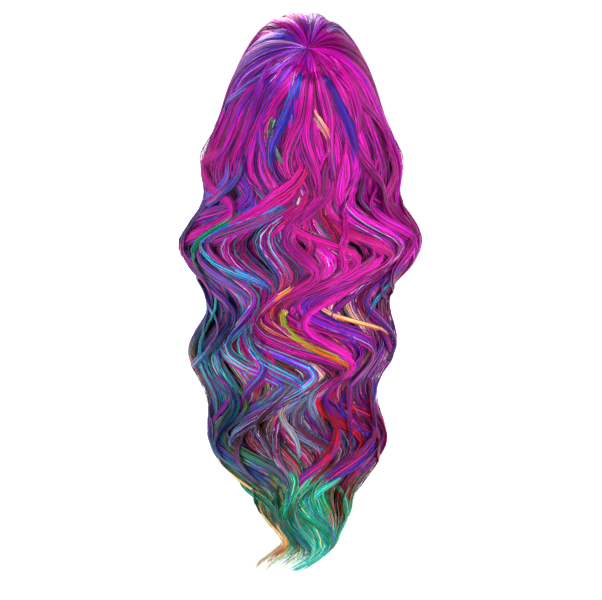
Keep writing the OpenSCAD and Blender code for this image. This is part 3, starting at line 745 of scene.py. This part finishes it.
def long_strands(lines, depth, ends, beat, rise, openings=()):
    """Strands from the whorl to the tips. Above the hat line a strand follows the skin out from the whorl, and
    below it follows its line. Past lines 0 and 8 it wraps forward round the side of the head. depth is mm in
    from the outer face; beat and rise shape the lock that the strand is in."""
    lines = lines[:, None]
    edge = np.clip(lines, 0, 8)
    past = np.abs(lines - edge)
    outside = np.sign(4 - lines)
    middle, half, _, _ = section(np.array([[10.0]]))
    turn = np.arcsin(np.clip((line_x(edge, 10.0) - middle) / half, -0.998, 0.998))
    turn = np.where(past > 0, outside * np.radians(EDGE_TURN + 27 * past), turn)
    trial = np.linspace(0.05, 2.6, 120)[None]
    height = on_head(heading(turn, trial, WHORL_LEAN), 7 + swell(trial))[..., 2]
    leave = trial[0][np.argmax(height < HAT_LINE, axis=1)][:, None]
    slant = 0.025 + (leave - 0.025) * np.linspace(0, 1, HEAD_STATIONS)[None] ** 1.15
    sway = 0.035 * np.sin(slant * 5 + beat) * smooth(slant / 0.8)
    deep = depth[:, None] - 2.6 * rise
    above = 7.6 + swell(slant) * (1 - deep / 40) + 1.4 * rise
    head_part = on_head(heading(turn + sway, slant, WHORL_LEAN), above)
    head_part[..., 0] -= 8 * (1 - smooth(slant / 0.9))
    last = head_part[:, -1]
    top = last[:, 2:3]
    z = top + (ends[:, None] - top) * (np.arange(1, HANG_STATIONS + 1) / HANG_STATIONS)[None]
    grow = smooth((20 - z) / 160)
    drift = 0.10 * grow * np.sin(2 * math.pi * z / 170 + beat)
    x = parted(line_x(np.clip(edge + drift, 0, 8), z), z, openings)
    middle, half, back, reach = section(z)
    lie = np.arcsin(np.clip((x - middle) / half, -0.985, 0.985))
    lie = lie + outside * (past > 0) * np.radians(17 * past + 1.5 * np.sin(2 * math.pi * z / 120 + beat))
    over = x - (middle + half * np.clip((x - middle) / half, -0.985, 0.985))
    ripple = RIPPLE * np.cos(2 * math.pi * (z + RIPPLE_PHASE) / WAVE_PITCH)
    room = np.minimum(deep - ripple * grow, 0.7 * np.minimum(half, reach))
    hang = np.stack([
        middle + (half - room) * np.sin(lie) + over, back + (reach - room) * np.cos(lie), z
    ], axis=-1)
    join = smooth((top - z) / 75)[..., None]
    follow = last[:, None] + (z - top)[..., None] * np.array([0, 0, 1.0])
    follow[..., :2] *= (1 + 0.0012 * (top - z) * (1 - join[..., 0]))[..., None]
    path = np.concatenate([head_part, follow * (1 - join) + hang * join], axis=1)
    place = np.arange(path.shape[1])
    ease = (0.5 * smooth((place - 2) / 6) * smooth((HEAD_STATIONS + 9 - place) / 6))[None, 1:-1, None]
    for _ in range(16):
        path[:, 1:-1] += ease * (0.5 * (path[:, :-2] + path[:, 2:]) - path[:, 1:-1])
    return off_the_cap(path)


def outward(path):
    """Which way a strand's flat side faces: out from the head above, and from the hair's middle below."""
    z = path[..., 2]
    middle, _, back, _ = section(z)
    fade = smooth((-z) / 60)
    away = path - np.stack([middle * fade, back * fade, np.minimum(z, 0)], axis=-1)
    return away / (np.linalg.norm(away, axis=-1, keepdims=True) + 1e-9)


# The dyes from root to tip: at each height, the dyes of the left, the middle and the right of the hair.
DYE_HEIGHTS = np.array([80, -30, -150, -250, -340, -430, -510, -580], float)
DYE_ROWS = """
lavender violet royal magenta purple | magenta pink magenta royal purple | magenta pink magenta plum
magenta plum purple magenta pink | magenta plum royal magenta wine plum | magenta pink magenta plum
magenta teal azure royal green | magenta plum silver wine indigo crimson | magenta pink magenta indigo
magenta azure purple royal teal | magenta rose plum wine orange | magenta navy magenta beige royal
cyan purple teal red green royal | plum crimson magenta orange wine beige | magenta purple green royal beige
purple green royal teal olive | black brown grey wine crimson silver | crimson royal red purple violet
peach lime green teal cream | teal green crimson aqua | red crimson green aqua
peach cream orange | aqua mint teal aqua | aqua mint green cyan
"""
DYE_TABLE = [[dyes(group.split()) for group in row.split("|")] for row in DYE_ROWS.strip().splitlines()]


def long_dye(rng, lines, z, tone, lot):
    """Colour along long strands: each strand keeps to its side's dyes, picks one at each height, and runs
    softly from one to the next."""
    n, r = z.shape
    near = np.clip(np.rint(lines / 4 + rng.normal(0, 0.35, n)), 0, 2).astype(int)
    picked = np.zeros((n, len(DYE_HEIGHTS), 3))
    for row, groups in enumerate(DYE_TABLE):
        for side, group in enumerate(groups):
            mine = near == side
            picked[mine, row] = group[((lot[mine] + 0.31 * row) % 1 * len(group)).astype(int)]
    shifted = z + rng.normal(0, 16, (n, 1))
    at = np.interp(-shifted, -DYE_HEIGHTS, np.arange(len(DYE_HEIGHTS)))
    row = np.clip(at.astype(int), 0, len(DYE_HEIGHTS) - 2)
    part = smooth((at - row) * 1.6 - 0.3)[..., None]
    who = np.arange(n)[:, None]
    colours_ = picked[who, row] * (1 - part) + picked[who, row + 1] * part
    # The tone brings in the painted light and shade of the layer and the lock, times a random tone per strand.
    tone = (tone * rng.uniform(0.72, 1.2, n))[:, None] * (1 + 0.3 * smooth((-z - 480) / 100))
    return np.clip(colours_ * tone[..., None], 0, 255)


def long_layer(name, seed, lines, spread, depth, ends, size, painted_shade, groups, openings=(), stray=1.1):
    """One piece of full-length hair, blended from the cap to the swinging hair."""
    rng = np.random.default_rng(seed)
    n = len(lines)
    lines = lines + rng.normal(0, spread, n)
    beat, rise, tone, lot = gathered(rng, lines, groups)
    path = long_strands(lines, depth + rng.uniform(-1.2, 1.2, n), rng.uniform(*ends, n), beat, rise, openings)
    r = path.shape[1]
    face = outward(path)
    run = np.gradient(path, axis=1)
    side = np.cross(run, face)
    side /= np.linalg.norm(side, axis=-1, keepdims=True) + 1e-9
    t = np.linspace(0, 1, r)
    path = path + side * (wander(rng, n, r, 700, stray) * smooth(t / 0.2))[..., None]
    path = path + face * (wander(rng, n, r, 700, 0.7) * smooth(t / 0.2))[..., None]
    width = tapered(r, n, rng.uniform(0.75, 1.3, n) * size, root=0.3, tip=0.12, tip_from=0.9)
    # The dyes are darkened by the layer's painted shade factor, lowest for layers lying under others.
    first = long_dye(rng, lines, path[..., 2], painted_shade * tone, lot)
    second = long_dye(rng, lines, path[..., 2], painted_shade * tone, rng.random(n))
    piece = tufts(name, path, face, width, width * 0.34 + 0.25, first, second, wander(rng, n, r, 400, 0.25))
    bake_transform(piece)
    return piece


ALL_LINES = (-2.4, 10.4)
# The outer hair parts round three openings: line, height, half width and half height.
OPENINGS = [(3, -20, 9, 46), (5, -20, 12, 46), (1, -180, 12, 40)]
# The inner and under layers are dyed darker, 0.35 and 0.6, as painted shade under the outer hair.
inner_hair = long_layer("inner_hair", 3, np.linspace(*ALL_LINES, 190), 0.05, 26, (-592, -480), 12.5, 0.35, 24,
                        stray=9)
under_hair = long_layer("under_hair", 5, np.linspace(*ALL_LINES, 270), 0.05, 13, (-600, -520), 5.6, 0.6, 30,
                        stray=3.5)
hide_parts("nape_hair_left", "nape_hair_centre", "nape_hair_right")
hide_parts("temple_hair_left", "temple_hair_right", "front_lock_left", "front_lock_right")
for name, seed, start, stop, nodes in (
    ("outer_left_hair", 7, -2.4, 1.0, ("side_hair_left", "long_lock_left")),
    ("outer_back_left_hair", 8, 1.0, 3.1, ("back_hair_left",)),
    ("outer_back_hair", 9, 3.1, 5.0, ("crown_hair", "long_lock_centre")),
    ("outer_back_right_hair", 10, 5.0, 7.1, ("back_hair_right",)),
    ("outer_right_hair", 11, 7.1, 10.4, ("side_hair_right", "long_lock_right")),
):
    outer = long_layer(name, seed, np.linspace(start, stop, 298), 0.02, 4, (-610, -530), 1.75, 1, 26, OPENINGS)
    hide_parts(*nodes)
stray_lines = np.random.default_rng(12).uniform(-2.2, 10.2, 150)
long_layer("flyaway_hair", 12, stray_lines, 0.2, 2.0, (-606, -380), 0.5, 0.9, 60, stray=3.5)

# ---- Fringe and crown front ----
# In front of the whorl the hair is combed forward over the crown in two layers and opens into a full fringe that
# ends near the hat line. Its edges tuck in under the hair at the sides.


def forward_hair(name, seed, count, raise_, size, painted_shade):
    """Strands from the whorl over the front of the head: a strand's turn opens from the middle as it falls."""
    rng = np.random.default_rng(seed)
    stations = 30
    off = np.linspace(-44, 44, count) + rng.normal(0, 0.6, count)
    t = np.linspace(0, 1, stations)
    reach = rng.uniform(1.8, 2.1, count) + 0.18 * (np.abs(off) / 44) ** 2
    slant = 0.03 + (reach[:, None] - 0.03) * t[None] ** 1.05
    open_ = 1 + 1.25 * smooth((slant - 0.9) / 0.9)
    apart = 1.5 * np.sign(off[:, None]) * smooth((slant - 1.1) / 0.6)
    turn = math.pi + np.radians(off[:, None] * open_ + apart) + wander(rng, count, stations, 200, 0.03)
    tuck = 7 * smooth((np.abs(off) - 24) / 20)[:, None] * smooth(slant / 0.5)
    above = 7.6 + swell(slant) * raise_ + rng.uniform(-0.8, 0.8, (count, 1)) - tuck
    path = on_head(heading(turn, slant, WHORL_LEAN), above)
    path[..., 0] -= 8 * (1 - smooth(slant / 0.9))
    path[..., 2] += 2.5 * np.sin(slant * 5 + off[:, None] * 0.3)
    face = outward(path)
    width = tapered(stations, count, rng.uniform(0.75, 1.3, count) * size, 0.3, 0.12, 0.85)
    lines = 4 - off * 0.12 + rng.normal(0, 1.5, count)
    _, rise, tone, lot = gathered(rng, 4 + off * 0.14, 20)
    path = path + face * (1.5 * rise)[..., None]
    level = np.full((count, stations), 40.0)
    # The dyes are darkened by the layer's painted shade factor.
    first = long_dye(rng, lines, level, painted_shade * tone, lot)
    second = long_dye(rng, lines, level, painted_shade * tone, rng.random(count))
    roll = wander(rng, count, stations, 200, 0.25)
    piece = tufts(name, path, face, width, width * 0.34 + 0.25, first, second, roll)
    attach(piece, "cap")
    return piece


# The under layer in front is dyed darker, 0.75, as painted shade under the fringe.
forward_hair("front_under_hair", 31, 190, 0.55, 5.0, 0.75)
fringe = forward_hair("front_hair", 32, 460, 0.92, 1.9, 1.0)
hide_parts("fringe_hair")

# ---- Top locks ----
# The outermost hair lies in separate heat-set locks that cross the rest in S bends. A lock lies on the mantle,
# the outer face of the hair, and is laid by line (0 left to 8 right) and by fall: 0 at the whorl, 1 at the hat
# line, and 1 more for each 100 mm below it.

MANTLE_PER_LINE, FALL_STEP = 10, 100
MANTLE_LINES = np.linspace(-2.2, 10.2, 125)
mantle_depth, mantle_ends = np.full(len(MANTLE_LINES), 3.0), np.full(len(MANTLE_LINES), float(TIPS))
mantle = long_strands(MANTLE_LINES, mantle_depth, mantle_ends, 0.0, 0.0)
mantle_face = outward(mantle)
STRAYS = dyes("plum purple indigo teal grey crimson beige royal violet brown magenta wine".split())


def on_mantle(grid, line, fall):
    """Read a grid over the mantle at line and fall, straight between its four nearest points."""
    row = np.clip((line - MANTLE_LINES[0]) * MANTLE_PER_LINE, 0, grid.shape[0] - 1.001)
    hat = HEAD_STATIONS - 1
    col = np.where(fall < 1, fall * hat, hat + (fall - 1) * FALL_STEP * HANG_STATIONS / (HAT_LINE - TIPS))
    col = np.clip(col, 0, grid.shape[1] - 1.001)
    i, j = row.astype(int), col.astype(int)
    f, g = (row - i)[..., None], (col - j)[..., None]
    near = grid[i, j] * (1 - f) + grid[i + 1, j] * f
    return near * (1 - g) + (grid[i, j + 1] * (1 - f) + grid[i + 1, j + 1] * f) * g


def lay_locks(name, seed, locks, size=1.2, stations=23):
    """Many locks as one piece. A lock is (dyes, line at its start and end, fall at its start and end, width and
    lift in mm). Its middle runs from one line to the other with an S bend; its strands lie side by side over a
    lens-shaped section that twists slowly, start and stop at different places, and tuck in at both ends."""
    rng = np.random.default_rng(seed)
    t = np.linspace(0, 1, stations)
    parts = []
    for names, line_0, line_1, fall_0, fall_1, wide, lift in locks:
        count = max(8, int(wide * 1.8))
        length = FALL_STEP * (fall_1 - fall_0)
        begin, stop = rng.uniform(0.0, 0.2, count)[:, None], rng.uniform(0.78, 1.0, count)[:, None]
        at = begin + (stop - begin) * t[None]
        bend = rng.uniform(0.2, 0.6) * smooth((fall_0 + 0.6) / 2)
        wave = 2 * math.pi * at * length / WAVE_PITCH + rng.uniform(0, 2 * math.pi)
        line = line_0 + (line_1 - line_0) * smooth(at) + bend * np.sin(wave)
        fall = fall_0 + (fall_1 - fall_0) * at
        guide = on_mantle(mantle, line, fall)
        face = on_mantle(mantle_face, line, fall)
        face /= np.linalg.norm(face, axis=-1, keepdims=True)
        side = np.cross(np.gradient(guide, axis=1), face)
        side /= np.linalg.norm(side, axis=-1, keepdims=True) + 1e-9
        place = (np.linspace(-1, 1, count) + rng.normal(0, 0.08, count))[:, None]
        layer = rng.uniform(0.2, 1, count)[:, None]
        lens = np.sin(math.pi * np.clip(at * 0.92 + 0.05, 0, 1)) ** 0.6
        spread = wide / 2 * (0.3 + 0.7 * smooth(fall / 0.9)) * (0.4 + 0.6 * lens)
        twist = rng.uniform(-0.4, 0.4) * np.sin(2 * math.pi * at * length / 190 + rng.uniform(0, 6))
        across = place * spread * np.cos(twist) + wander(rng, count, stations, length, 0.8)
        out = lift + wide * 0.16 * (1 - place**2) * layer + place * spread * np.sin(twist)
        sink = (5.0 + lift) * (1 - smooth((at - 0.02) / 0.2)) + (5.0 + lift) * smooth((at - 0.82) / 0.18)
        out = out + wander(rng, count, stations, length, 0.5) - sink
        own = dyes(names.split())
        steps = np.clip(at * 1.06 + rng.normal(0, 0.08, (count, 1)), 0, 1) * (len(own) - 1)
        pick = np.stack([np.interp(steps, np.arange(len(own)), own[:, i]) for i in range(3)], axis=-1)
        mixed = own[rng.integers(0, len(own), count)][:, None]
        pick = np.where((rng.random(count) < 0.3)[:, None, None], mixed, pick)
        stray = STRAYS[rng.integers(0, len(STRAYS), count)][:, None]
        pick = np.where((rng.random(count) < 0.14)[:, None, None], stray, pick)
        # Painted light and shade across each lock: its middle strands lighter, its edge strands darker.
        painted_lock_shade = 1.12 - 0.5 * place**2
        tone = rng.uniform(0.85, 1.25) * (rng.uniform(0.65, 1.15, (count, 1)) * painted_lock_shade)[..., None]
        second = own[rng.integers(0, len(own), count)][:, None] * np.ones((1, stations, 1))
        parts.append((
            guide + side * across[..., None] + face * out[..., None], face,
            tapered(stations, count, rng.uniform(0.75, 1.3, count) * size, 0.2, 0.12, 0.78),
            np.clip(pick * tone, 0, 255), second, wander(rng, count, stations, length, 0.25) + twist * 0.8))
    path, face, width, first, second, roll = (np.concatenate(part) for part in zip(*parts))
    piece = tufts(name, off_the_cap(path), face, width, width * 0.4 + 0.2, first, second, roll)
    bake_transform(piece)
    return piece


def strewn(seed, count, falls, length, sides):
    """Locks strewn evenly over a stretch of the mantle, each with the dyes of its side."""
    rng = np.random.default_rng(seed)
    locks = []
    for line in (np.arange(count) + rng.uniform(0.2, 0.8, count)) / count * 8.4 - 0.2:
        fall = rng.uniform(*falls)
        names = list(rng.permutation(sides[int(np.clip(line * 3 / 8, 0, 2))].split()))
        end = np.clip(line + rng.uniform(-1.8, 1.8), 0.1, 7.9)
        locks.append((" ".join(names), line, end, fall, min(fall + rng.uniform(*length), 7.2),
                      rng.uniform(9, 20), rng.uniform(1.5, 4.5)))
    return locks


lay_locks("crown_locks", 21, strewn(41, 14, (0.02, 0.25), (1.2, 2.0), (
    "violet magenta royal purple magenta", "magenta magenta pink plum", "magenta pink magenta plum")) + [
    ("royal azure royal royal purple", 3.4, 2.2, 0.2, 2.0, 12, 6),
    ("royal indigo royal", 2.0, 1.4, 0.2, 1.3, 8, 3),
    ("indigo royal purple", 6.0, 6.6, 0.3, 1.9, 12, 5),
    ("magenta magenta pink plum", 4.4, 4.0, 0.2, 2.4, 15, 5),
    ("magenta pink magenta violet", 5.6, 5.2, 0.2, 2.2, 12, 5),
    ("violet royal lavender", 0.6, 0.1, 0.2, 1.3, 12, 2),
    ("orange beige red orange", 4.7, 4.9, 0.8, 1.7, 9, 5), ("lime olive grey lime", 2.4, 2.6, 0.9, 1.8, 7, 5),
    ("red orange red", 5.0, 4.8, 1.0, 1.8, 9, 0)])
lay_locks("upper_wave_locks", 22, strewn(42, 24, (1.2, 2.2), (1.2, 2.1), (
    "magenta teal azure royal magenta", "magenta plum rose magenta", "magenta pink magenta plum")) + [
    ("magenta pink magenta", 0.6, 0.2, 1.4, 3.4, 17, 4), ("teal azure cyan royal", 1.6, 2.2, 2.0, 3.6, 13, 4),
    ("green teal azure", 1.0, 1.6, 2.3, 3.3, 8, 4), ("magenta plum magenta", 4.6, 3.6, 1.6, 3.8, 17, 5),
    ("magenta pink magenta plum", 6.8, 7.6, 1.2, 3.2, 18, 4), ("silver beige grey", 3.4, 4.4, 2.0, 3.2, 6, 3),
    ("green aqua teal", 1.2, 0.8, 2.2, 3.5, 12, 5), ("wine plum crimson", 5.2, 4.4, 1.4, 3.0, 13, 5)])
lay_locks("middle_wave_locks", 23, strewn(43, 26, (2.9, 3.8), (1.2, 1.9), (
    "magenta royal teal purple cyan", "plum crimson wine magenta plum", "magenta purple royal plum")) + [
    ("crimson rose orange", 4.0, 4.8, 3.0, 4.2, 10, 3), ("cyan aqua azure", 0.2, 0.6, 3.4, 4.6, 10, 4),
    ("navy royal cyan", 7.6, 7.2, 3.0, 4.0, 10, 3), ("beige cream orange", 6.4, 7.4, 3.3, 4.3, 5, 4),
    ("magenta plum magenta", 3.0, 4.6, 3.2, 5.0, 16, 6), ("magenta pink magenta", 6.2, 5.2, 3.0, 4.9, 15, 5),
    ("green lime orange red", 4.6, 5.2, 3.5, 4.7, 10, 6), ("orange beige crimson", 3.6, 4.2, 3.2, 4.4, 9, 6)])
lay_locks("lower_wave_locks", 24, strewn(44, 28, (4.3, 5.2), (1.0, 1.7), (
    "purple royal green teal grey", "plum brown silver grey wine", "crimson royal red purple")) + [
    ("green lime olive", 1.4, 2.2, 4.6, 6.0, 11, 4), ("red crimson red", 5.6, 6.0, 4.6, 6.0, 11, 4),
    ("royal violet royal", 7.0, 6.4, 4.6, 6.2, 9, 4), ("silver beige grey", 3.0, 4.4, 4.5, 5.8, 7, 4),
    ("magenta violet purple", 0.8, 0.4, 4.4, 5.6, 9, 4)])
lay_locks("tail_locks", 25, strewn(45, 12, (5.6, 6.1), (0.9, 1.4), (
    "green aqua teal", "teal aqua mint green", "green aqua mint aqua")) + [
    ("teal aqua mint cyan", 2.6, 3.6, 5.6, 7.1, 12, 3), ("green aqua aqua mint", 5.0, 4.4, 5.7, 7.2, 13, 3),
    ("mint cyan aqua", 6.4, 5.6, 5.8, 7.1, 11, 3),
    ("peach cream orange peach", 0.3, 1.0, 5.5, 7.25, 10, 4),
    ("cream peach orange", 0.6, 0.4, 6.2, 7.3, 9, 5),
    ("peach cream peach", 1.8, 1.0, 6.2, 7.24, 9, 2)], size=0.95)

# ---- Studio ----
# A plain pale floor just under the tips, soft light from large panels, and a long lens that looks 15 degrees down
# on the back.

bpy.ops.mesh.primitive_plane_add(size=40, location=(0, 0, cad_box[0][2] - 0.022))
floor = bpy.context.object
floor.name = "studio_floor"
pale = Finish("pale_floor", Roughness=0.9, Base_Color=(0.93, 0.93, 0.93, 1), Emission_Color=(1, 1, 1, 1),
              Emission_Strength=0.75)
pale.on(floor)


def panel(name, place, aim, size, power):
    """A square light panel at a place, facing an aim point."""
    light = bpy.data.lights.new(name, "AREA")
    light.energy, light.size = power, size
    lamp = bpy.data.objects.new(name, light)
    bpy.context.scene.collection.objects.link(lamp)
    way = np.array(place) - np.array(aim)
    lamp.location = place
    flat = math.hypot(way[0], way[1])
    lamp.rotation_euler = (math.atan2(flat, way[2]), 0, math.atan2(way[0], -way[1]))


panel("key_panel", (0.5, 2.0, 2.0), (0, 0.05, -0.2), 0.9, 54)
panel("fill_panel", (-1.8, 1.4, 0.5), (0, 0.05, -0.25), 1.0, 15)
panel("front_panel", (0.6, -2.2, 0.9), (0, 0, -0.2), 1.2, 36)
world = bpy.data.worlds.new("studio")
bpy.context.scene.world = world
world.use_nodes = True
sky = Finish.__new__(Finish)
sky.tree, sky.shader = world.node_tree, world.node_tree.nodes["Background"]
height = sky.node("ShaderNodeSeparateXYZ", {}, {"Vector": sky.place()}, "Z")
glow = sky.node("ShaderNodeMapRange", {"interpolation_type": "SMOOTHSTEP"},
                {0: height.maths("ABSOLUTE", height), 1: 0.08, 2: 0.45, 3: 1.0, 4: 0.18})
sky.set(Color=sky.node("ShaderNodeCombineColor", {}, {0: glow, 1: glow, 2: glow}))

box_middle = (np.array(cad_box[0]) + np.array(cad_box[1])) / 2
view_aim = box_middle + np.array([0.002, 0.066, 0.009])
lift = math.radians(15)
distance = 8.69
lens = bpy.data.cameras.new("back_view")
lens.lens, lens.sensor_width = 400, 36
camera = bpy.data.objects.new("back_view", lens)
bpy.context.scene.collection.objects.link(camera)
camera.location = view_aim + distance * np.array([0, math.cos(lift), math.sin(lift)])
camera.rotation_euler = (math.radians(90) - lift, 0, math.pi)
lens.clip_end = 100
bpy.context.scene.camera = camera
bpy.context.scene.view_settings.view_transform = "Standard"
